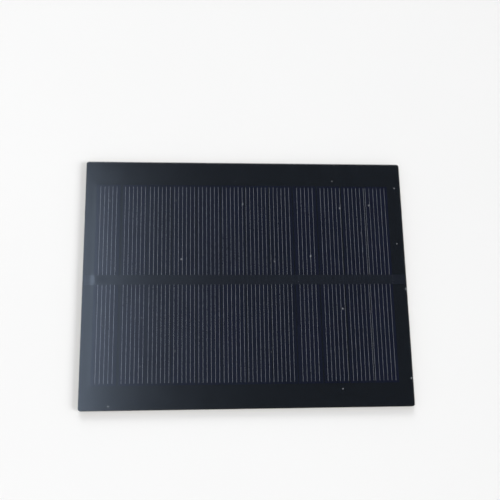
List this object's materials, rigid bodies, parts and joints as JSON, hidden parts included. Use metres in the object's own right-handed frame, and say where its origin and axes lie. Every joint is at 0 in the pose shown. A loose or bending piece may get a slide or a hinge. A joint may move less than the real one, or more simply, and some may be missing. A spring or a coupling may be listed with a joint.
{
  "type": "solar panel",
  "caption": "Thin rectangular solar panel: silicon strips in series, sealed between a circuit board and a clear matt film, with solder terminals on the back.",
  "frame": {"origin": "centre of the board's back face", "axes": "+X along the long side from the positive terminal to the negative one, +Y along the short side, +Z out of the face that takes the light"},
  "size_m": [0.13, 0.1, 0.0025],
  "materials": {
    "solder_mask": "satin black solder mask over glass-fibre laminate",
    "tinned_copper": "bright hot-air levelled tin",
    "white_ink": "matt screen-printed ink",
    "encapsulant": "clear cured EVA",
    "silicon": "dark blue anti-reflection coat over textured silicon",
    "silver_print": "matt fired silver paste",
    "tinned_ribbon": "hot-dipped tin over copper",
    "solder": "smooth solder",
    "black_tape": "matt black polyester tape",
    "matt_film": "clear PET with a fine matt texture"
  },
  "bodies": {
    "root": {"backing_board": "solder_mask", "positive_terminal": "tinned_copper", "negative_terminal": "tinned_copper", "plus_mark": "white_ink", "minus_mark": "white_ink", "lower_encapsulant": "encapsulant", "upper_encapsulant": "encapsulant", "cell_01": "silicon", "cell_02": "silicon", "cell_03": "silicon", "cell_04": "silicon", "cell_05": "silicon", "cell_06": "silicon", "cell_07": "silicon", "cell_08": "silicon", "cell_09": "silicon", "cell_10": "silicon", "cell_11": "silicon", "cell_12": "silicon", "grid_01": "silver_print", "grid_02": "silver_print", "grid_03": "silver_print", "grid_04": "silver_print", "grid_05": "silver_print", "grid_06": "silver_print", "grid_07": "silver_print", "grid_08": "silver_print", "grid_09": "silver_print", "grid_10": "silver_print", "grid_11": "silver_print", "grid_12": "silver_print", "interconnect_01": "tinned_ribbon", "interconnect_02": "tinned_ribbon", "interconnect_03": "tinned_ribbon", "interconnect_04": "tinned_ribbon", "interconnect_05": "tinned_ribbon", "interconnect_06": "tinned_ribbon", "interconnect_07": "tinned_ribbon", "interconnect_08": "tinned_ribbon", "interconnect_09": "tinned_ribbon", "interconnect_10": "tinned_ribbon", "interconnect_11": "tinned_ribbon", "positive_lead": "tinned_ribbon", "negative_lead": "tinned_ribbon", "positive_joint": "solder", "negative_joint": "solder", "mask_tape": "black_tape", "front_film": "matt_film"}
  },
  "joints": []
}
